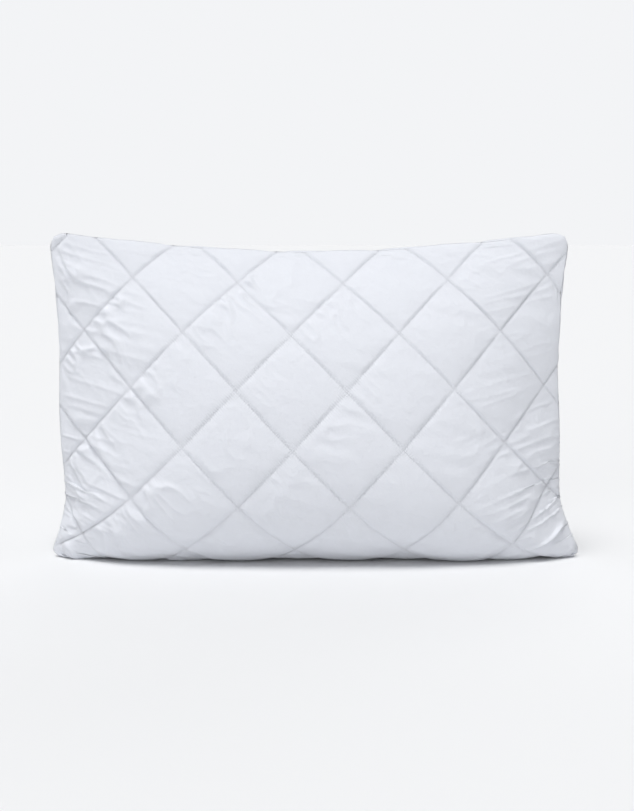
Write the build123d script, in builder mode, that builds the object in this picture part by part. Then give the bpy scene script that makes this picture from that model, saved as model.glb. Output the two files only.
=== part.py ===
"""Quilted bed pillow, cut 500 x 700 mm, plumped up and standing on one long edge.

Frame: +X along the pillow's length, +Y from the front panel to the back panel, +Z up.
Origin: on the surface that it stands on, under the middle of the pillow.
Units: millimetres.

Each panel is a sandwich of face fabric, wadding and backing, quilted in diamonds. The two
panels meet at a seam in the plane Y = 0, and loose fibre fills the space between them.
A depth is a distance below the pillow's outer surface, towards its middle.
"""

import os
from math import atan2, cos, degrees, pi, sin

from build123d import *

# The plumped pillow
corner_height = 432.0  # from the floor to the top corners
top_width = 684.0  # between the top corners
foot_width = 702.0  # between the bottom corners
thickness = 184.0  # front to back at the middle
top_dip = 14.0  # how far the top edge sags between its corners
side_dip = 21.0  # how far each side edge draws in between its corners
sink = 25.0  # how much of the bottom edge the floor presses flat
edge_share = 1.2  # how much faster a layer's outline draws in than its face does

# The layers of one quilted panel, from its outer surface inwards
fabric = 0.6
wadding = 7.0
backing = 0.6
thread = 0.5

# Quilting
diamond_width = 140.0
diamond_height = 150.0
front_crossing = (43.5, 227.0)  # X, Z of one crossing of the front panel's lines
back_crossing = (-16.5, 196.0)
thread_width = 0.8
lines_each_way = 11
quilting_margin = 1.0  # how much deeper than its layer a stitch line stops

# Seam, whose raw edges are turned inside
allowance = 8.0
ply = 0.8  # thickness of one panel's pressed raw edge
half_gap = 0.3  # half the space that the lockstitch takes between the two raw edges
corner_radius = 12.0  # of the stitch lines' turn at each corner
lockstitch_step = 1.0  # from the start of the raw edges to the lockstitch
overlock = 2.0  # width of the stitching that binds the raw edges
seam_clearance = 4.0  # room that the sharp corners of the filling need inside the seam's rounded ones

# Topstitching that shuts the opening, in the left side, through which the fibre went in
closing_length = 180.0
closing_height = 240.0
closing_depth = 3.4
closing_clearance = 0.4

# How finely the surface is sampled, and how closely it follows the samples
columns = 16
rows = 14
surface_tolerance = 0.02

half_height = (corner_height + sink) / 2
mid_height = corner_height - half_height
half_width = (top_width + foot_width) / 4
flare = (foot_width - top_width) / 4
quilt_angle = degrees(atan2(diamond_height, diamond_width))
beyond = 2 * foot_width  # longer than anything in the pillow

wadding_depth = fabric
backing_depth = wadding_depth + wadding
bobbin_depth = backing_depth + backing
fill_depth = bobbin_depth + thread
lockstitch_depth = fill_depth + lockstitch_step
overlock_depth = fill_depth + allowance
seam_room = (allowance + overlock) * edge_share + seam_clearance
seam_half_thickness = half_gap + ply


def edge_to_edge(steps):
    """Angles from one edge of the pillow, at -pi / 2, to the other, at pi / 2."""
    return [pi * (step / steps - 0.5) for step in range(steps + 1)]


def side_x(z, inset):
    """How far the right edge of an outline, drawn in by the inset, is from the middle at that height."""
    level = 2 * z / corner_height - 1
    return half_width - inset - flare * level - side_dip * (1 - level**2)


def front_point(along, up, depth, inset):
    """The point of the front surface at those two angles, that deep and drawn in that much."""
    u, v = sin(along), sin(up)
    z = mid_height + v * (half_height - inset) - top_dip * (1 - u**2) * ((1 + v) / 2) ** 2
    return (u * side_x(z, inset), (depth - thickness / 2) * cos(along) * cos(up), z)


def front_half(depth, room=0.0):
    """What the front half holds below that depth, with a flat foot and room left all round its edge."""
    inset = depth * edge_share + room
    grid = [
        [front_point(along, up, depth, inset) for along in edge_to_edge(columns)]
        for up in edge_to_edge(rows)
    ]
    face = Face.make_surface_from_array_of_points(grid, tol=surface_tolerance)
    seam_plane = Face(Wire(face.edges()))
    with BuildPart() as half:
        add(Solid(Shell([face, seam_plane])))
        split(bisect_by=Plane.XY.offset(max(depth, 0.0) + room), keep=Keep.TOP)
    return half.part


def outline(depth):
    """The pillow's outline at that depth, with its corners rounded as a sewing machine turns."""
    inset = depth * edge_share
    top = corner_height - inset
    waist = (depth + top) / 2
    foot_x, waist_x, top_x = (side_x(z, inset) for z in (depth, waist, top))
    with BuildSketch() as area:
        with BuildLine():
            Line((-foot_x, depth), (foot_x, depth))
            ThreePointArc((foot_x, depth), (waist_x, waist), (top_x, top))
            ThreePointArc((top_x, top), (0, top - top_dip), (-top_x, top))
            ThreePointArc((-top_x, top), (-waist_x, waist), (-foot_x, depth))
        make_face()
        fillet(area.vertices(), corner_radius)
    return area.sketch_local


def seam_band(depth, width, near, away):
    """A closed band that wide, that follows the seam at that depth from Y = -near to Y = -away."""
    with BuildPart() as band:
        with BuildSketch(Plane.XZ.offset(near)):
            add(outline(depth))
            add(outline(depth + width), mode=Mode.SUBTRACT)
        extrude(amount=away - near)
    return band.part


def closing_line(clearance):
    """The topstitch line near the left edge, as wide as the thread with clearance round it."""
    with BuildSketch() as line:
        add(outline(closing_depth - clearance))
        add(outline(closing_depth + thread_width + clearance), mode=Mode.SUBTRACT)
        with Locations((-foot_width / 2, closing_height)):
            Rectangle(foot_width / 2, closing_length + 2 * clearance, mode=Mode.INTERSECT)
    return line.sketch_local


def quilt_lines(crossing, depth):
    """The quilting of one panel on the seam plane, which one thread follows to and fro."""
    with BuildSketch(Plane.XZ) as lines:
        with Locations(crossing):
            with GridLocations(diamond_width, 1, lines_each_way, 1):
                Rectangle(beyond, thread_width, rotation=quilt_angle)
                Rectangle(beyond, thread_width, rotation=-quilt_angle)
        add(outline(depth + quilting_margin), mode=Mode.INTERSECT)
        add(closing_line(closing_clearance), mode=Mode.SUBTRACT)
    return lines.sketch


thread_half = front_half(-thread)
outer_half = front_half(0.0)
wadding_half = front_half(wadding_depth)
backing_half = front_half(backing_depth)
bobbin_half = front_half(bobbin_depth)
fill_half = front_half(fill_depth)

# Front panel
with BuildPart() as front_face_fabric:
    add(outer_half)
    add(wadding_half, mode=Mode.SUBTRACT)

with BuildPart() as front_wadding:
    add(wadding_half)
    add(backing_half, mode=Mode.SUBTRACT)

with BuildPart() as front_backing:
    add(backing_half)
    add(bobbin_half, mode=Mode.SUBTRACT)
    add(seam_band(fill_depth, allowance, half_gap, seam_half_thickness))

with BuildPart() as front_needle_thread:
    add(thread_half)
    add(outer_half, mode=Mode.SUBTRACT)
    extrude(quilt_lines(front_crossing, 0.0), amount=thickness, mode=Mode.INTERSECT)

with BuildPart() as front_bobbin_thread:
    add(bobbin_half)
    add(fill_half, mode=Mode.SUBTRACT)
    extrude(quilt_lines(front_crossing, fill_depth), amount=thickness, mode=Mode.INTERSECT)

# Back panel
with BuildPart() as back_face_fabric:
    mirror(front_face_fabric.part, about=Plane.XZ)

with BuildPart() as back_wadding:
    mirror(front_wadding.part, about=Plane.XZ)

with BuildPart() as back_backing:
    mirror(front_backing.part, about=Plane.XZ)

with BuildPart() as back_needle_thread:
    add(mirror(thread_half, about=Plane.XZ, mode=Mode.PRIVATE))
    add(mirror(outer_half, about=Plane.XZ, mode=Mode.PRIVATE), mode=Mode.SUBTRACT)
    extrude(quilt_lines(back_crossing, 0.0), amount=-thickness, mode=Mode.INTERSECT)

with BuildPart() as back_bobbin_thread:
    add(mirror(bobbin_half, about=Plane.XZ, mode=Mode.PRIVATE))
    add(mirror(fill_half, about=Plane.XZ, mode=Mode.PRIVATE), mode=Mode.SUBTRACT)
    extrude(quilt_lines(back_crossing, fill_depth), amount=-thickness, mode=Mode.INTERSECT)

# Seam
with BuildPart() as seam_lockstitch:
    add(seam_band(lockstitch_depth, thread_width, -half_gap, half_gap))

with BuildPart() as seam_overlock:
    add(seam_band(overlock_depth, overlock, -seam_half_thickness, seam_half_thickness))

with BuildPart() as closing_topstitch:
    add(thread_half)
    add(outer_half, mode=Mode.SUBTRACT)
    with BuildSketch(Plane.XZ):
        add(closing_line(0.0))
    extrude(amount=thickness, mode=Mode.INTERSECT)
    mirror(about=Plane.XZ)

# Filling
with BuildPart() as fibre_filling:
    add(front_half(fill_depth, seam_room))
    mirror(about=Plane.XZ)

pieces = {
    "front_face_fabric": front_face_fabric,
    "front_wadding": front_wadding,
    "front_backing": front_backing,
    "front_needle_thread": front_needle_thread,
    "front_bobbin_thread": front_bobbin_thread,
    "back_face_fabric": back_face_fabric,
    "back_wadding": back_wadding,
    "back_backing": back_backing,
    "back_needle_thread": back_needle_thread,
    "back_bobbin_thread": back_bobbin_thread,
    "seam_lockstitch": seam_lockstitch,
    "seam_overlock": seam_overlock,
    "closing_topstitch": closing_topstitch,
    "fibre_filling": fibre_filling,
}

os.makedirs("parts", exist_ok=True)
for name, piece in pieces.items():
    piece.part.label = name
    export_step(piece.part, f"parts/{name}.step")
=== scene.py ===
"""The looks of a quilted bed pillow.

The cloth is simulated in its flat panels' own grid, and is then stitched, filled and lit.
Each panel is a grid over its flat cut. Row 0 is the top edge and column 0 the left edge.
Arrays of points have the shape (panel, row, column, 3), with the front panel first.
Lengths are in metres.
"""
from math import cos, pi, radians, sin

import bpy
import numpy as np
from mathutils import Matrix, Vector


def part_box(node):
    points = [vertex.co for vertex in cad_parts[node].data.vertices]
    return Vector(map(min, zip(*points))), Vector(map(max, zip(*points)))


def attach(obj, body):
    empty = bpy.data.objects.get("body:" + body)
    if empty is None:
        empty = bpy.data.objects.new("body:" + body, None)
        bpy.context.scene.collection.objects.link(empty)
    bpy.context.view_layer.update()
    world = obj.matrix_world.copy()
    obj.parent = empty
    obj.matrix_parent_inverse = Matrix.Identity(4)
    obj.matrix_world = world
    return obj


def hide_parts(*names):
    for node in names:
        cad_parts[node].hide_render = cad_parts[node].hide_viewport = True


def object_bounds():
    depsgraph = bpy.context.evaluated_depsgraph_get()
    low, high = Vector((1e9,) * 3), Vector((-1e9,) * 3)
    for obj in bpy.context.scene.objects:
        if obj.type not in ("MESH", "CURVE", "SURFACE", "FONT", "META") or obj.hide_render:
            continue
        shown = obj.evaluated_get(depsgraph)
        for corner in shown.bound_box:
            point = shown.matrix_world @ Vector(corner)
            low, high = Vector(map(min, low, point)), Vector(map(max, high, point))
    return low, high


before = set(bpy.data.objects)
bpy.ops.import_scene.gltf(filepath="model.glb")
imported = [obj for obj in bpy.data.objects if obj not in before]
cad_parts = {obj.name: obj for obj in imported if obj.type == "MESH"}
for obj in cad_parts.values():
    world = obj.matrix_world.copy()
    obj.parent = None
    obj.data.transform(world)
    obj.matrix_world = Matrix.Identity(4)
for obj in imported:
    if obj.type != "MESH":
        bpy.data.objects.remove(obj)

cad_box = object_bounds()
CAD_HIGH = np.array(cad_box[1])
HEIGHT = CAD_HIGH[2]

FLAT = (0.700, 0.500)  # the cut of one panel, along X and along Z
COARSE = (27, 40)  # rows and columns of the first grid
DIAMOND = 8  # columns, and rows, of that grid to one diamond
LINE_SPACING = 0.102  # between neighbouring stitch lines, square to them
# Where the rising and the falling stitch lines start on each panel, as shares of a diamond
RISING = (0.1875, 0.09375)
FALLING = (0.4375, 0.78125)
STITCHES = 32  # stitches along one side of a diamond

# How the two panels blow up. Each pair is the share of too long and of too short put right at once
CORNER_RADIUS = 0.024
PARTED = 0.03  # how far each panel's middle starts from the seam's plane
LITRES = 30
PRESSURE = 0.01  # push in one step for each cubic metre that is missing
WEIGHT = 3e-6  # fall in one step
SINK = 0.055  # how far the floor pushes the foot up
CORE_SPEED_KEPT = 0.9  # share of its speed that the cloth keeps from step to step
CORE_ROUNDS = 3  # rounds of pulls in one step
CORE_THREADS = (1.0, 0.02)
CORE_BIAS = (0.3, 0.01)
CORE_STIFFNESS = 0.05

# How the blown up panels are fitted to the CAD model and eased to the outline of the real thing
HEADROOM = 0.003  # left under the CAD model's top for the face fabric
FULLER = 0.002  # how far the core's middle stands out of the CAD model
DIP = 0.012  # further dip of the top edge between its corners
LEAN = 0.009  # how far the top stands to the left of the foot
BOW = 0.006  # how far the middle of each side stands to the left of both
CLIMB = 0.0025  # how much higher each panel's upper middle lies than its weight alone leaves it
FLARE = 0.038  # share by which the sides stand out low down, and in higher up

# How the quilting holds the face fabric
LOFT = 0.0043  # how far the wadding lifts the fabric in the middle of a diamond
FULLNESS = 0.4  # how domed a diamond is: towards 0 it is flat on top, and steep beside its lines
SAG = 1.4  # how far the highest place in a diamond lies below its middle. At 1 it is the middle
LOFT_EDGE = 0.004  # how soon the wadding reaches its height beside the seam
STITCH_SINK = 0.0003  # how far the stitches draw the fabric in
PUCKER = 0.0036  # height of the puckers beside the rising lines
FOLD = 0.0020  # height of the folds near the sides
FOAM = 0.12  # share of the way to its lift that the wadding pushes the fabric in one step
SETTLE = 0.5  # share of that push with which the fabric comes back down to its lift
STITCH_HOLD = 0.5  # share of the way back to its place that a stitch pulls it
STITCH_GRIP = 0.05  # the same along the surface
SEAM_HOLD = 0.1  # the same at the seam, both ways
SLACK = 1.015  # how much longer the face fabric is than the flat panel
GATHER = 0.965  # how much the quilting thread shortens it along a stitch line
SEAM_GATHER = 0.975  # how much the seam's thread shortens it
SQUEEZE = 0.6  # share of too short that is put right at once along the threads
STITCH_SQUEEZE = 0.5  # the same along a stitch line
BIAS_STRETCH = 0.25  # share of too long put right at once across the threads
BIAS_SQUEEZE = 0.12  # the same for too short
FACE_SPEED_KEPT = 0.5
FACE_STIFFNESS = 0.004

# ---------------------------------------------------------------- cloth solver

ALL = slice(None)


def cut_panel(rows, columns):
    """The points of one panel's cut, with its corners rounded: (row, column, 2)."""
    z, x = np.mgrid[FLAT[1] : 0 : (rows + 1) * 1j, -FLAT[0] / 2 : FLAT[0] / 2 : (columns + 1) * 1j]
    to_side = 1 - np.minimum((FLAT[0] / 2 - np.abs(x)) / CORNER_RADIUS, 1)
    to_end = 1 - np.minimum(np.minimum(z, FLAT[1] - z) / CORNER_RADIUS, 1)
    x -= np.sign(x) * CORNER_RADIUS * to_side * (1 - np.sqrt(1 - to_end**2 / 2))
    z -= np.sign(z - FLAT[1] / 2) * CORNER_RADIUS * to_end * (1 - np.sqrt(1 - to_side**2 / 2))
    return np.stack([x, z], -1)


def flat_panels():
    """Both panels flat, one behind the other, opened a little so that pressure can part them."""
    cut = cut_panel(*COARSE)
    x, z = cut[..., 0], cut[..., 1]
    bump = PARTED * np.cos(pi * x / FLAT[0]) * np.sin(pi * z / FLAT[1])
    return np.stack([np.stack([x, side * bump, z], -1) for side in (-1, 1)])


def size(points):
    return points.shape[1] - 1, points.shape[2] - 1


def spans(points):
    """Vectors along the rows and along the columns at each point, one grid step long."""
    across, down = np.empty_like(points), np.empty_like(points)
    across[:, :, 1:-1] = (points[:, :, 2:] - points[:, :, :-2]) / 2
    across[:, :, 0] = (points[:, :, 1] - points[:, :, 0]) / 2
    across[:, :, -1] = (points[:, :, -1] - points[:, :, -2]) / 2
    down[:, 1:-1] = (points[:, 2:] - points[:, :-2]) / 2
    down[:, 0] = (points[:, 1] - points[:, 0]) / 2
    down[:, -1] = (points[:, -1] - points[:, -2]) / 2
    return across, down


def outward(points):
    """Each point's share of the surface as a vector that points out of the pillow."""
    across, down = spans(points)
    areas = np.cross(down, across)
    areas[1] *= -1
    return areas


def seam_parts():
    return (ALL, 0), (ALL, -1), (ALL, ALL, 0), (ALL, ALL, -1)


def unit_normals(points):
    """Unit normals, which on the seam are the ones that both panels share."""
    normals = outward(points)
    for part in seam_parts():
        normals[part] = normals[part].mean(0)
    return normals / np.maximum(np.linalg.norm(normals, axis=-1, keepdims=True), 1e-12)


def sew(points):
    """Keeps the two panels joined all round."""
    for part in seam_parts():
        points[part] = points[part].mean(0)


def bend(points, stiffness):
    """Straightens the cloth along its rows and its columns."""
    for axis in (1, 2):
        line = np.moveaxis(points, axis, 0)
        curl = stiffness * (line[:-2] - 2 * line[1:-1] + line[2:])
        line[1:-1] += 2 * curl
        line[:-2] -= curl
        line[2:] -= curl


def pull(points, first, second, rest, stretch, squeeze):
    """Moves pairs of points to their rest distance, by a share each of too long and too short."""
    gap = points[second] - points[first]
    length = np.sqrt(np.einsum("...k,...k->...", gap, gap))
    extra = length - rest
    gap *= (np.where(extra > 0, stretch, squeeze) * 0.5 * extra / length)[..., None]
    points[first] += gap
    points[second] -= gap


def neighbours(rows, columns):
    """Every pair of neighbours, in groups that share no point: (kind, first, second)."""
    left, right = slice(0, columns), slice(1, columns + 1)
    found = []
    for start in (0, 1):
        odd, even = slice(start, columns, 2), slice(start + 1, columns + 1, 2)
        found.append(("across", (ALL, ALL, odd), (ALL, ALL, even)))
        odd, even = slice(start, rows, 2), slice(start + 1, rows + 1, 2)
        found.append(("down", (ALL, odd), (ALL, even)))
        found.append(("falling", (ALL, odd, left), (ALL, even, right)))
        found.append(("rising", (ALL, odd, right), (ALL, even, left)))
    return found


def cut_length(rows, columns, first, second):
    cut = cut_panel(rows, columns)[None]
    return np.linalg.norm(cut[second] - cut[first], axis=-1)


def finer(points):
    """The same surface with twice as many rows and columns, by cubic interpolation."""
    for axis in (1, 2):
        line = np.moveaxis(points, axis, 0)
        padded = np.concatenate([2 * line[:1] - line[1:2], line, 2 * line[-1:] - line[-2:-1]])
        out = np.empty((2 * len(line) - 1, *line.shape[1:]))
        out[::2] = line
        out[1::2] = (9 * (padded[1:-2] + padded[2:-1]) - padded[:-3] - padded[3:]) / 16
        points = np.moveaxis(out, 0, axis)
    return points


def inflate(points, steps, litres, weight, floor):
    """Blows the sewn panels up to that volume while they stand, and sink to the floor's height."""
    rows, columns = size(points)
    cell = FLAT[0] / columns * FLAT[1] / rows
    links = []
    for kind, first, second in neighbours(rows, columns):
        stiff = CORE_THREADS if kind in ("across", "down") else CORE_BIAS
        links.append((first, second, cut_length(rows, columns, first, second), *stiff))
    before = points.copy()
    for turn in range(steps):
        areas = outward(points)
        missing = litres / 1000 - np.einsum("pjik,pjik->", points, areas) / 3
        pressure = max(0.0, PRESSURE * missing) / cell
        moved = points + CORE_SPEED_KEPT * (points - before) + pressure * areas
        before, points = points, moved
        points[..., 2] -= weight
        for _ in range(CORE_ROUNDS):
            for link in links:
                pull(points, *link)
            sew(points)
        bend(points, CORE_STIFFNESS)
        sew(points)
        np.maximum(points[..., 2], floor * min(1.0, 2 * turn / steps), out=points[..., 2])
        points[..., :2] -= points[..., :2].mean((0, 1, 2))
        # It neither wanders off nor leans back
        height = points[..., 2] - points[..., 2].mean()
        points[..., 1] -= height * (points[..., 1] * height).sum() / (height**2).sum()
    return points


def quilting(rows, columns):
    """Where each point lies among the diamonds: two counts that are whole on the stitch lines."""
    down, across = np.mgrid[0 : rows + 1, 0 : columns + 1] / (DIAMOND * columns / COARSE[1])
    rising = np.stack([across + down - start for start in RISING])
    falling = np.stack([across - down - start for start in FALLING])
    return rising, falling


def off_line(count):
    """How far each count is from the nearest stitch line, where the lines are 1 apart."""
    return np.abs((count + 0.5) % 1.0 - 0.5)


def stitched(counts):
    return off_line(counts) < 1e-6


def drape_face(face, core, lifted, steps):
    """Lets the face fabric settle over its wadding, held to the core along the stitch lines."""
    rows, columns = size(face)
    normals = unit_normals(core)
    on_rising, on_falling = (stitched(counts) for counts in quilting(rows, columns))
    on_line = on_rising | on_falling
    seam = np.zeros_like(on_line)
    for part in seam_parts():
        seam[part] = True

    goal = np.where(seam, 0.0, np.where(on_line, -STITCH_SINK, lifted))
    push = np.where(seam, SEAM_HOLD, np.where(on_line, STITCH_HOLD, FOAM))
    slide = np.where(seam, SEAM_HOLD, np.where(on_line, STITCH_GRIP, 0.0))
    loose = ~on_line & ~seam
    links = []
    for kind, first, second in neighbours(rows, columns):
        rest = cut_length(rows, columns, first, second) * SLACK
        stiff = (1.0, SQUEEZE)
        if kind in ("rising", "falling"):
            line = on_rising if kind == "rising" else on_falling
            sewn = line[first] & line[second]
            rest = np.where(sewn, rest * GATHER, rest)
            stretch = np.where(sewn, 1.0, BIAS_STRETCH)
            squeeze = np.where(sewn, STITCH_SQUEEZE, BIAS_SQUEEZE)
            stiff = (stretch, squeeze)
        else:
            rest = np.where(seam[first] & seam[second], rest * SEAM_GATHER, rest)
        links.append((first, second, rest, *stiff))

    before = face.copy()
    for _ in range(steps):
        before, face = face, face + FACE_SPEED_KEPT * (face - before)
        away = face - core
        lift = np.einsum("pjik,pjik->pji", away, normals)
        face -= slide[..., None] * (away - lift[..., None] * normals)
        share = np.where((lift > goal) & loose, SETTLE * push, push)
        face += (share * (goal - lift))[..., None] * normals
        for link in links:
            pull(face, *link)
        sew(face)
        bend(face, FACE_STIFFNESS)
        sew(face)
        np.maximum(face[..., 2], 0.0, out=face[..., 2])
    return face


def streaks(along, across, seed):
    """Smooth seeded noise over two coordinates that are whole on its lattice, between -1 and 1."""
    along, across = along - along.min(), across - across.min()
    shape = int(along.max()) + 2, int(across.max()) + 2
    lattice = np.random.default_rng(seed).uniform(-1, 1, shape)
    j, i = along.astype(int), across.astype(int)
    s, t = along - j, across - i
    s, t = s * s * (3 - 2 * s), t * t * (3 - 2 * t)
    upper = lattice[j, i] * (1 - t) + lattice[j, i + 1] * t
    lower = lattice[j + 1, i] * (1 - t) + lattice[j + 1, i + 1] * t
    return upper * (1 - s) + lower * s


def blend(value, low, high):
    """From 0 to 1 while the value goes from low to high."""
    share = np.clip((value - low) / (high - low), 0, 1)
    return share * share * (3 - 2 * share)


def ridges(along, across, seed):
    """Long crisp folds, from 0 between them to 1 along their crests."""
    return np.maximum(1 - 2.2 * np.abs(streaks(along, across, seed)) ** 0.8, 0)


def lift_of(rows, columns):
    """How far the wadding lifts the face fabric, highest low down in each diamond."""
    rising, falling = quilting(rows, columns)
    p, q = (rising % 1.0) ** SAG, 1 - (1 - falling % 1.0) ** SAG
    lift = LOFT * np.maximum(16 * p * (1 - p) * q * (1 - q), 0) ** FULLNESS
    cut = cut_panel(rows, columns)
    to_side = FLAT[0] / 2 - np.abs(cut[..., 0])
    to_end = np.minimum(cut[..., 1], FLAT[1] - cut[..., 1])
    return lift * (1 - np.exp(-np.minimum(to_side, to_end) / LOFT_EDGE))


def near(distance, reach):
    """Close to 1 within that reach, and falling to 0 beyond it."""
    return np.exp(-((distance / reach) ** 2))


def puckers_of(x, z, p, q, patch, panel):
    """Puckers run square to the rising lines, from just below them and down to the right."""
    upper_left = blend(x + 0.6 * (FLAT[1] - z), 0.32, -0.15)
    waver = 1.5 * streaks(p * 3, q * 3, 70 + panel)
    pucker = ridges(p * 2.6 + 0.3 * q, q * 9.0 + waver, 30 + panel)
    return PUCKER * pucker * patch * near(p % 1.0, 0.55) * (0.1 + 0.9 * upper_left)


def side_folds_of(x, z, slope, to_side, patch, panel):
    """Folds lie nearly level where the pillow narrows towards its sides."""
    sideways = near(to_side, 0.12) * (0.35 + 0.65 * patch)
    sideways *= 1 - 0.65 * blend(x + 0.5 * z, 0.3, 0.5)
    return FOLD * ridges(x / 0.06, slope / 0.012, 40 + panel) * sideways


def foot_folds_of(x, z, slope, to_side, panel):
    """Deeper and wider folds lie in the lower corners."""
    foot = near(to_side, 0.09) * blend(z, 0.28, 0.06)
    return 1.5 * FOLD * ridges(x / 0.08, slope / 0.028, 50 + panel) * foot


def waves_of(x, z, patch, panel):
    """Soft shallow waves all over."""
    soft = streaks(x / 0.045, (z + 0.3 * x) / 0.014, 60 + panel)
    return 0.3 * FOLD * soft * (0.2 + 0.8 * patch)


def wrinkles_of(rows, columns):
    """The heights of the face fabric's wrinkles."""
    cut = cut_panel(rows, columns)
    x, z = cut[..., 0], cut[..., 1]
    to_side = FLAT[0] / 2 - np.abs(x)
    to_seam = np.minimum(to_side, np.minimum(z, FLAT[1] - z))
    slope = z + 0.2 * to_side
    rising, falling = quilting(rows, columns)
    height = np.zeros_like(rising)
    for panel in (0, 1):
        p, q = rising[panel], falling[panel]
        patch = blend(streaks(p * 1.3, q * 1.3, 20 + panel), -0.9, 0.2)
        height[panel] += puckers_of(x, z, p, q, patch, panel)
        height[panel] += side_folds_of(x, z, slope, to_side, patch, panel)
        height[panel] += foot_folds_of(x, z, slope, to_side, panel)
        height[panel] += waves_of(x, z, patch, panel)
    from_line = np.minimum(off_line(rising), off_line(falling)) * LINE_SPACING
    return height * blend(to_seam, 0.0, 0.025) * blend(from_line, -0.002, 0.006)


def fit_core(core):
    """Scales the core to the CAD model and eases its outline."""
    core[..., 2] -= core[..., 2].min()
    core[..., 2] *= (HEIGHT - HEADROOM) / core[0, 0, 0, 2]
    to_corner = 1 - (core[..., 0] / core[0, 0, 0, 0]) ** 6
    core[..., 2] -= DIP * (core[..., 2] / HEIGHT) ** 7 * to_corner
    core[..., 0] *= CAD_HIGH[0] / core[..., 0].max()
    core[..., 1] *= (CAD_HIGH[1] + FULLER) / core[..., 1].max()
    share = core[..., 2] / HEIGHT
    core[..., 0] *= 1 + FLARE * np.sin(2 * pi * share) * (core[..., 0] / CAD_HIGH[0]) ** 4
    core[..., 0] -= LEAN * share + BOW * np.sin(pi * share) * (core[..., 0] / CAD_HIGH[0]) ** 2
    core[..., 2] += CLIMB * np.sin(pi * share**2.2) ** 2


def simulate():
    """The core, which is the panels' mean surface, and the face fabric, both on the finest grid."""
    core = inflate(flat_panels(), 700, LITRES, WEIGHT, 0.0)
    core = inflate(core, 300, LITRES, WEIGHT, SINK)
    core = inflate(finer(core), 60, LITRES, WEIGHT / 3, SINK)
    fit_core(core)
    core = finer(core)
    lift = lift_of(*size(core)) + wrinkles_of(*size(core))
    face = core + lift[..., None] * unit_normals(core)
    face = drape_face(face, core, lift, 120)
    core, face = finer(core), finer(face)
    np.maximum(core[..., 2], 0.0, out=core[..., 2])
    # The finest grid starts with sharper wrinkles, and keeps them deeper, than the one before it
    wrinkles = wrinkles_of(*size(core))
    face += 0.5 * wrinkles[..., None] * unit_normals(core)
    face = drape_face(face, core, lift_of(*size(core)) + 1.5 * wrinkles, 50)
    return core, face


core, face = simulate()

# ---------------------------------------------------------------- mesh making


def add_mesh(name, points, faces, material, uvs=None):
    """A smooth mesh object with its maps, riding on the pillow."""
    mesh = bpy.data.meshes.new(name)
    mesh.from_pydata(np.asarray(points).tolist(), [], faces)
    for map_name, corners in (uvs or {}).items():
        layer = mesh.uv_layers.new(name=map_name)
        layer.uv.foreach_set("vector", np.asarray(corners, np.float32).ravel())
    mesh.polygons.foreach_set("use_smooth", np.ones(len(mesh.polygons), bool))
    mesh.materials.append(material)
    piece = bpy.data.objects.new(name, mesh)
    bpy.context.collection.objects.link(piece)
    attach(piece, "root")
    return piece


def grid_of(rows, columns, first=0):
    return first + np.arange((rows + 1) * (columns + 1)).reshape(rows + 1, columns + 1)


def quads_of(grid):
    """Its cells, anticlockwise when row 0 is at the top."""
    return np.stack([grid[:-1, :-1], grid[1:, :-1], grid[1:, 1:], grid[:-1, 1:]], -1).reshape(-1, 4)


def round_the_edge(grid):
    """Its edge, anticlockwise from the top left corner and back to it."""
    return np.concatenate([grid[:-1, 0], grid[-1, :-1], grid[:0:-1, -1], grid[0, ::-1]])


# The bake map of a panel: its outer surface above, and its inner one, smaller, below
MAP_MARGIN = 0.01
OUTER_SCALE = 1 - 2 * MAP_MARGIN
INNER_SCALE = 0.35
RIM_WIDTH = 0.002


def panel_map(rows, columns, scale, low_v):
    """The flat panel on a bake map, the right way up."""
    v, u = np.mgrid[rows : -1 : -1, 0 : columns + 1].astype(float)
    u = MAP_MARGIN + u / columns * scale
    v = low_v + v / rows * scale * FLAT[1] / FLAT[0]
    return np.stack([u, v], -1).reshape(-1, 2)


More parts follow.
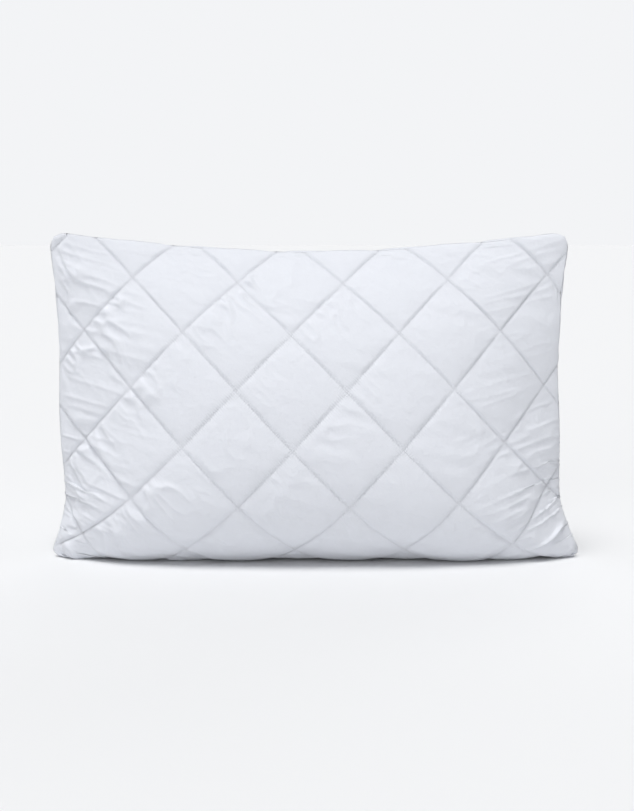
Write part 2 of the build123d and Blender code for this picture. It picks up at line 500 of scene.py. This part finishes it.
def shell(name, outer, inner, panel, material):
    """One panel as a closed thin shell between two grids. The inner one may be half as fine."""
    rows, columns = len(outer) - 1, outer.shape[1] - 1
    in_rows, in_columns = len(inner) - 1, inner.shape[1] - 1
    step = rows // in_rows
    outer_grid = grid_of(rows, columns)
    inner_grid = grid_of(in_rows, in_columns, outer_grid.size)
    edge, inner_edge = round_the_edge(outer_grid), round_the_edge(inner_grid)
    rim = [
        [*edge[step * k : step * (k + 1) + 1][::-1], inner_edge[k], inner_edge[k + 1]]
        for k in range(len(inner_edge) - 1)
    ]
    faces = [*quads_of(outer_grid).tolist(), *quads_of(inner_grid)[:, ::-1].tolist()]
    corners = np.ravel(faces)
    faces += [[int(index) for index in polygon] for polygon in rim]

    bake = np.concatenate([
        panel_map(rows, columns, OUTER_SCALE, 1 - MAP_MARGIN - OUTER_SCALE * FLAT[1] / FLAT[0]),
        panel_map(in_rows, in_columns, INNER_SCALE, MAP_MARGIN),
    ])
    rising, falling = quilting(rows, columns)
    lattice = np.stack([rising[panel], falling[panel]], -1).reshape(-1, 2)
    lattice = np.concatenate([lattice, lattice[outer_grid[::step, ::step]].reshape(-1, 2)])
    bake_corners, lattice_corners = [bake[corners]], [lattice[corners]]
    middle = bake[outer_grid].mean((0, 1))
    to_edge = 0.999 * np.abs(bake[0] - middle)
    for polygon in rim:
        outer_part = bake[polygon[:-2]]
        ends = outer_part[[-1, 0]]
        out = RIM_WIDTH * np.sign(ends - middle) * (np.abs(ends - middle) > to_edge)
        bake_corners.append(np.concatenate([outer_part, ends + out]))
        lattice_corners.append(lattice[polygon])
    uvs = {"OFBake": np.concatenate(bake_corners), "quilting": np.concatenate(lattice_corners)}
    if panel == 1:
        # From behind, the grid's columns run the other way, so each face is turned over
        counts = np.array([len(face) for face in faces])
        turned = np.concatenate([
            np.arange(end - 1, end - count - 1, -1) for end, count in zip(np.cumsum(counts), counts)
        ])
        faces = [face[::-1] for face in faces]
        uvs = {map_name: places[turned] for map_name, places in uvs.items()}
    points = np.concatenate([outer.reshape(-1, 3), inner.reshape(-1, 3)])
    return add_mesh(name, points, faces, material, uvs)


# A stitch's rings: place along it, share of its radius, and share of its lift
RINGS = (
    (0.02, 0.5, -1.0),
    (0.2, 1.0, 0.5),
    (0.5, 1.1, 1.0),
    (0.8, 1.0, 0.5),
    (0.98, 0.5, -1.0),
)


def capsules(name, starts, ends, up, radius, lift, slot, material, sides=6):
    """Stitches: a rounded rod from each start to each end, whose ends dip into the cloth."""
    along = ends - starts
    side = np.cross(along, up)
    side /= np.linalg.norm(side, axis=1, keepdims=True)
    square = np.cross(side, along)
    square /= np.linalg.norm(square, axis=1, keepdims=True)
    angle = np.linspace(0, 2 * pi, sides, endpoint=False)[:, None]
    turn = np.cos(angle) * side[:, None, None] + np.sin(angle) * square[:, None, None]
    place, thick, high = np.array(RINGS).T[..., None]
    centre = starts[:, None] + along[:, None] * place + lift * high * square[:, None]
    points = centre[:, :, None] + radius * thick[..., None] * turn
    count = len(RINGS) * sides
    first = count * np.arange(len(starts))[:, None]
    ring = np.arange(len(RINGS) - 1)[:, None] * sides
    k = np.arange(sides)
    following = (k + 1) % sides
    walls = [ring + k, ring + following, ring + sides + following, ring + sides + k]
    walls = np.stack(walls, -1).reshape(-1, 4)
    faces = (first[..., None] + walls).reshape(-1, 4).tolist()
    faces += (first + k[::-1]).tolist()
    faces += (first + count - sides + k).tolist()
    return add_mesh(name, points.reshape(-1, 3), faces, material)


# ---------------------------------------------------------------- materials


def new_material(name, colour, roughness, sheen):
    material = bpy.data.materials.new(name)
    material.use_nodes = True
    tree = material.node_tree
    shader = tree.nodes["Principled BSDF"]
    shader.inputs["Base Color"].default_value = (*colour, 1)
    shader.inputs["Roughness"].default_value = roughness
    shader.inputs["Sheen Weight"].default_value = sheen
    shader.inputs["Sheen Roughness"].default_value = 0.4
    shader.inputs["Specular IOR Level"].default_value = 0.25
    return material, tree, shader


def node(tree, kind, inputs=(), **settings):
    """A node with its settings, and with each input set to a number or linked to a socket."""
    made = tree.nodes.new(kind)
    for key, value in settings.items():
        setattr(made, key, value)
    for key, value in dict(inputs).items():
        if isinstance(value, bpy.types.NodeSocket):
            tree.links.new(value, made.inputs[key])
        else:
            made.inputs[key].default_value = value
    return made


def calc(tree, operation, *values):
    return node(tree, "ShaderNodeMath", dict(enumerate(values)), operation=operation).outputs[0]


def noise(tree, source, scale, detail, **inputs):
    inputs = {"Vector": source, "Scale": scale, "Detail": detail, **inputs}
    return node(tree, "ShaderNodeTexNoise", inputs).outputs[0]


def base_mixed(tree, shader, share, low, high):
    """The base colour, which goes from low to high with the share."""
    inputs = {0: share, 6: (*low, 1), 7: (*high, 1)}
    mix = node(tree, "ShaderNodeMix", inputs, data_type="RGBA")
    tree.links.new(mix.outputs[2], shader.inputs["Base Color"])


def tinted(tree, shader, colour, spread, scale, source):
    """A colour that wanders a little over the surface."""
    dark = tuple(channel * (1 - spread) for channel in colour)
    base_mixed(tree, shader, noise(tree, source, scale, 3), dark, colour)


def raised(tree, shader, layers):
    """Bump from several heights, each with its depth in metres."""
    normal = None
    for height, depth in layers:
        bump = node(tree, "ShaderNodeBump", {"Height": height, "Distance": depth, "Strength": 1.0})
        if normal:
            tree.links.new(normal, bump.inputs["Normal"])
        normal = bump.outputs[0]
    tree.links.new(normal, shader.inputs["Normal"])


def woven(tree, place, pitch):
    """The height of a plain weave, with threads along both directions of the map."""
    split = node(tree, "ShaderNodeSeparateXYZ", {0: place})
    warp = calc(tree, "SINE", calc(tree, "MULTIPLY", split.outputs[0], 2 * pi / pitch))
    weft = calc(tree, "SINE", calc(tree, "MULTIPLY", split.outputs[1], 2 * pi / pitch))
    return calc(tree, "MULTIPLY", warp, weft)


def fabric_material():
    """White brushed microfibre, with the fine puckers that each stitch draws beside its line."""
    colour = FABRIC_COLOUR
    material, tree, shader = new_material("pillow_microfibre", colour, 0.85, 0.25)
    spot = node(tree, "ShaderNodeTexCoord").outputs["Object"]
    bake = node(tree, "ShaderNodeUVMap", uv_map="OFBake").outputs[0]
    inputs = {0: bake, 3: FLAT[0] / OUTER_SCALE}
    metres = node(tree, "ShaderNodeVectorMath", inputs, operation="SCALE").outputs[0]
    lattice = node(tree, "ShaderNodeUVMap", uv_map="quilting").outputs[0]
    counts = node(tree, "ShaderNodeSeparateXYZ", {0: lattice}).outputs
    tinted(tree, shader, colour, 0.03, 60.0, spot)

    puckers = []
    for line, along in ((0, 1), (1, 0)):
        off = calc(tree, "PINGPONG", counts[line], 0.5)
        fading = calc(tree, "MULTIPLY", off, -LINE_SPACING / PUCKER_REACH)
        beside = calc(tree, "POWER", 2.718, fading)
        wave = calc(tree, "COSINE", calc(tree, "MULTIPLY", counts[along], 2 * pi * STITCHES))
        puckers.append(calc(tree, "MULTIPLY", beside, wave))
    pucker = calc(tree, "ADD", *puckers)
    nap = noise(tree, spot, 900.0, 2)
    crinkle = noise(tree, spot, 90.0, 3)
    weave = woven(tree, metres, WEAVE_PITCH)
    layers = [(crinkle, 0.0012), (pucker, 0.0003), (nap, 0.0002), (weave, 0.00004)]
    raised(tree, shader, layers)
    return material


def plain_cloth_material(name, colour, scale, depth):
    """Felted or lofted fibre: no weave, only a mat of noise."""
    material, tree, shader = new_material(name, colour, 0.95, 0.4)
    spot = node(tree, "ShaderNodeTexCoord").outputs["Object"]
    tinted(tree, shader, colour, 0.06, scale / 4, spot)
    raised(tree, shader, [(noise(tree, spot, scale, 5, Distortion=1.5), depth)])
    return material


def thread_material():
    """Twisted polyester thread."""
    colour = THREAD_COLOUR
    material, tree, shader = new_material("polyester_thread", colour, 0.55, 0.2)
    spot = node(tree, "ShaderNodeTexCoord").outputs["Object"]
    tinted(tree, shader, colour, 0.05, 400.0, spot)
    inputs = {"Vector": spot, "Scale": 900.0, "Distortion": 1.0}
    twist = node(tree, "ShaderNodeTexWave", inputs).outputs[1]
    raised(tree, shader, [(twist, 0.0001)])
    return material


FABRIC_COLOUR = (0.765, 0.784, 0.835)
THREAD_COLOUR = (0.80, 0.82, 0.86)
PUCKER_REACH = 0.0035  # how soon a stitch's fine puckers fade beside its line
WEAVE_PITCH = 0.0007

fabric = fabric_material()
thread = thread_material()
wadding = plain_cloth_material("lofted_wadding", (0.88, 0.88, 0.87), 300.0, 0.001)
backing = plain_cloth_material("nonwoven_backing", (0.84, 0.85, 0.86), 700.0, 0.0003)
fibre = plain_cloth_material("polyester_fibre", (0.90, 0.90, 0.88), 150.0, 0.003)

# ---------------------------------------------------------------- pieces

SIDES = ("front", "back")
THREAD_RADIUS = 0.0003
NEEDLE_RADIUS = 0.00028
STITCH_LIFT = 0.0003  # how far a stitch stands proud of its cloth
SEAM_LIFT = 0.0001
# Depths below the face fabric, and then below the core
FABRIC_THICKNESS = 0.0012
WADDING_TOP = 0.0017
WADDING_FOOT = 0.009
BACKING_TOP, BACKING_FOOT = 0.0093, 0.0099
FILL_TOP = 0.0115
SEAM_DEPTH = 0.0125
OVERLOCK_OUTER, OVERLOCK_INNER = 0.0175, 0.0195

face_normals = unit_normals(face)
# What lies inside is on a grid half as fine
middle_core, middle_normals = core[:, ::2, ::2], unit_normals(core)[:, ::2, ::2]
middle_face = face[:, ::2, ::2]


def below(points, normals, depth):
    """The surface that deep inside the pillow. The two panels' surfaces don't pass each other."""
    depth = np.broadcast_to(depth, points.shape[:-1])
    inside = points - depth[..., None] * normals
    inside[0, ..., 1] = np.minimum(inside[0, ..., 1], 0.0)
    inside[1, ..., 1] = np.maximum(inside[1, ..., 1], 0.0)
    inside[..., 2] = np.maximum(inside[..., 2], depth)
    return inside


def every_stitch(rows, columns, panel):
    """The two ends of every stitch of a panel's quilting, as rows and columns of its grid."""
    on_rising, on_falling = (stitched(counts[panel]) for counts in quilting(rows, columns))
    # A stitch that would end on the seam is left out
    inner = np.zeros_like(on_rising)
    inner[1:-1, 1:-1] = True
    down, across = np.nonzero((on_rising & inner)[:-1, 1:] & inner[1:, :-1])
    risers = (down, across + 1), (down + 1, across)
    down, across = np.nonzero((on_falling & inner)[:-1, :-1] & inner[1:, 1:])
    fallers = (down, across), (down + 1, across + 1)
    return [
        tuple(np.concatenate(pair) for pair in zip(risers[end], fallers[end])) for end in (0, 1)
    ]


def stitch(name, surface, normals, panel, radius):
    """All of a panel's quilting stitches on one surface."""
    ends = every_stitch(*size(surface), panel)
    starts, stops = (surface[panel][end] for end in ends)
    up = normals[panel][ends[0]]
    return capsules(name, starts, stops, up, radius, STITCH_LIFT, "thread", thread)


def under_face(depth):
    """The surface that deep below the face fabric and below the wrinkles beside each point."""
    around = np.pad(face, ((0, 0), (1, 1), (1, 1), (0, 0)), mode="edge")
    deepest = 0.0
    for down in range(3):
        for across in range(3):
            rows = slice(down, down + face.shape[1], 2)
            columns = slice(across, across + face.shape[2], 2)
            beside = around[:, rows, columns]
            drop = np.einsum("pjik,pjik->pji", middle_face - beside, middle_normals)
            deepest = np.maximum(deepest, drop)
    return below(middle_face, middle_normals, depth + deepest)


inside_face = under_face(FABRIC_THICKNESS)
wadding_top = under_face(WADDING_TOP)
wadding_foot = below(middle_core, middle_normals, WADDING_FOOT)
backing_top = below(middle_core, middle_normals, BACKING_TOP)
backing_foot = below(middle_core, middle_normals, BACKING_FOOT)
fill_top = below(middle_core, middle_normals, FILL_TOP)

for panel, side in enumerate(SIDES):
    outer, inner = face[panel], inside_face[panel]
    cloth = shell(f"{side}_fabric", outer, inner, panel, fabric)
    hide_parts(f"{side}_face_fabric")
    outer, inner = wadding_top[panel], wadding_foot[panel]
    pad = shell(f"{side}_padding", outer, inner, panel, wadding)
    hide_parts(f"{side}_wadding")
    outer, inner = backing_top[panel], backing_foot[panel]
    under = shell(f"{side}_under_cloth", outer, inner, panel, backing)
    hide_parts(f"{side}_backing")
    needle = stitch(f"{side}_quilting", face, face_normals, panel, NEEDLE_RADIUS)
    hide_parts(f"{side}_needle_thread")
    name = f"{side}_under_stitches"
    bobbin = stitch(name, backing_foot, -middle_normals, panel, THREAD_RADIUS)
    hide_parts(f"{side}_bobbin_thread")


def filling():
    """The loose fibre, as one closed body between the two backings."""
    rows, columns = size(fill_top)
    front, back = grid_of(rows, columns), grid_of(rows, columns, (rows + 1) * (columns + 1))
    # The two halves share the front one's points round the edge
    for part in ((0,), (-1,), (ALL, 0), (ALL, -1)):
        back[part] = front[part]
    points = np.concatenate([fill_top[0].reshape(-1, 3), fill_top[1].reshape(-1, 3)])
    faces = np.concatenate([quads_of(front), quads_of(back)[:, ::-1]])
    used, faces = np.unique(faces, return_inverse=True)
    piece = add_mesh("loose_fibre", points[used], faces.reshape(-1, 4).tolist(), fibre)
    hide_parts("fibre_filling")


filling()


def seam_line(depth):
    """The seam's path at that depth, from the top left corner all round to it again."""
    edge = round_the_edge(grid_of(*size(middle_core)))
    path = below(middle_core, middle_normals, depth)[0].reshape(-1, 3)[edge]
    path[:, 1] = 0.0
    return path


def seam_stitches(name, node_name, path):
    starts, stops = path[:-1], path[1:]
    up = np.tile((0.0, -1.0, 0.0), (len(starts), 1))
    piece = capsules(name, starts, stops, up, THREAD_RADIUS, SEAM_LIFT, "thread", thread)
    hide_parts(node_name)


def overlock_path():
    """A thread that winds round the raw edges, with a turn at every second point of the seam."""
    outer, inner = seam_line(OVERLOCK_OUTER), seam_line(OVERLOCK_INNER)
    count = np.arange(len(outer))
    path = np.where((count % 2 == 0)[:, None], outer, inner)
    path[:, 1] = 0.0012 * np.where(count % 4 < 2, -1, 1)
    return path


seam_stitches("seam_stitches", "seam_lockstitch", seam_line(SEAM_DEPTH))
seam_stitches("overlock_stitches", "seam_overlock", overlock_path())


def closing_stitches():
    """Topstitching near the left edge, through both panels, where the filling went in."""
    column = 2
    low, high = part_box("closing_topstitch")
    height = face[0, :, column, 2]
    down = np.nonzero((height[:-1] > low[2]) & (height[:-1] < high[2]))[0]
    starts = np.concatenate([face[panel, down, column] for panel in (0, 1)])
    stops = np.concatenate([face[panel, down + 1, column] for panel in (0, 1)])
    up = np.concatenate([face_normals[panel, down, column] for panel in (0, 1)])
    sizes = (THREAD_RADIUS, STITCH_LIFT)
    piece = capsules("closing_stitches", starts, stops, up, *sizes, "thread", thread)
    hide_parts("closing_topstitch")


closing_stitches()

# ---------------------------------------------------------------- floor, light and camera

PAPER = (0.896, 0.905, 0.922)  # the backdrop's colour
FLOOR_COLOUR = (0.836, 0.841, 0.850)
FLOOR_PAINTED_SHADOW = 0.92  # painted shadow: how much darker the floor's colour is painted under the pillow
SKY_COLOUR = (0.97, 0.98, 1.0)
SKY = 0.2
LAMPS = (
    # name, strength, spread in degrees, direction it comes from
    ("overhead", 2.45, 30.0, (-0.1, -0.25, 1.0)),
    ("fill", 1.2, 60.0, (-0.2, -1.0, 0.12)),
    ("rear_fill", 1.3, 60.0, (0.2, 1.0, 0.12)),
)
LENS, SENSOR = 70, 36  # in millimetres
CAMERA_DISTANCE = 2.1
CAMERA_ELEVATION = radians(7.0)
CAMERA_AIM = (0.001, 0.0, 0.205)


def ground():
    bpy.ops.mesh.primitive_plane_add(size=40, location=(0, 0, 0))
    plane = bpy.context.object
    plane.name = "floor"
    material, tree, shader = new_material("paper", FLOOR_COLOUR, 0.9, 0.0)
    shader.inputs["Specular IOR Level"].default_value = 0.0
    spot = node(tree, "ShaderNodeTexCoord").outputs["Object"]
    # Painted shadow: the floor's colour is darker within 0.1 m of the middle, under the pillow, and
    # eases to the plain floor colour by 0.6 m
    far = node(tree, "ShaderNodeVectorMath", {0: spot}, operation="LENGTH").outputs["Value"]
    inputs = {0: far, 1: 0.1, 2: 0.6}
    share = node(tree, "ShaderNodeMapRange", inputs, interpolation_type="SMOOTHSTEP").outputs[0]
    painted_shadow_colour = tuple(FLOOR_PAINTED_SHADOW * channel for channel in FLOOR_COLOUR)
    base_mixed(tree, shader, share, painted_shadow_colour, FLOOR_COLOUR)
    plane.data.materials.append(material)


def sky():
    """The camera sees the backdrop's colour, while a dimmer sky lights the pillow."""
    world = bpy.data.worlds.new("studio")
    bpy.context.scene.world = world
    world.use_nodes = True
    tree = world.node_tree
    tree.nodes.clear()
    seen = node(tree, "ShaderNodeBackground", {"Color": (*PAPER, 1), "Strength": 1.0})
    soft = node(tree, "ShaderNodeBackground", {"Color": (*SKY_COLOUR, 1), "Strength": SKY})
    straight = node(tree, "ShaderNodeLightPath").outputs["Is Camera Ray"]
    inputs = {0: straight, 1: soft.outputs[0], 2: seen.outputs[0]}
    mix = node(tree, "ShaderNodeMixShader", inputs)
    node(tree, "ShaderNodeOutputWorld", {0: mix.outputs[0]})


def lamps():
    for name, strength, spread, direction in LAMPS:
        light = bpy.data.lights.new(name, "SUN")
        light.energy = strength
        light.angle = radians(spread)
        lamp = bpy.data.objects.new(name, light)
        lamp.rotation_euler = Vector(direction).to_track_quat("Z", "Y").to_euler()
        bpy.context.collection.objects.link(lamp)


def camera():
    made = bpy.data.cameras.new("camera")
    made.lens = LENS
    made.sensor_width = SENSOR
    eye = bpy.data.objects.new("camera", made)
    x, y, z = CAMERA_AIM
    y -= CAMERA_DISTANCE * cos(CAMERA_ELEVATION)
    z += CAMERA_DISTANCE * sin(CAMERA_ELEVATION)
    eye.location = (x, y, z)
    eye.rotation_euler = (pi / 2 - CAMERA_ELEVATION, 0, 0)
    bpy.context.collection.objects.link(eye)
    bpy.context.scene.camera = eye


ground()
sky()
lamps()
camera()
bpy.context.scene.view_settings.view_transform = "Standard"
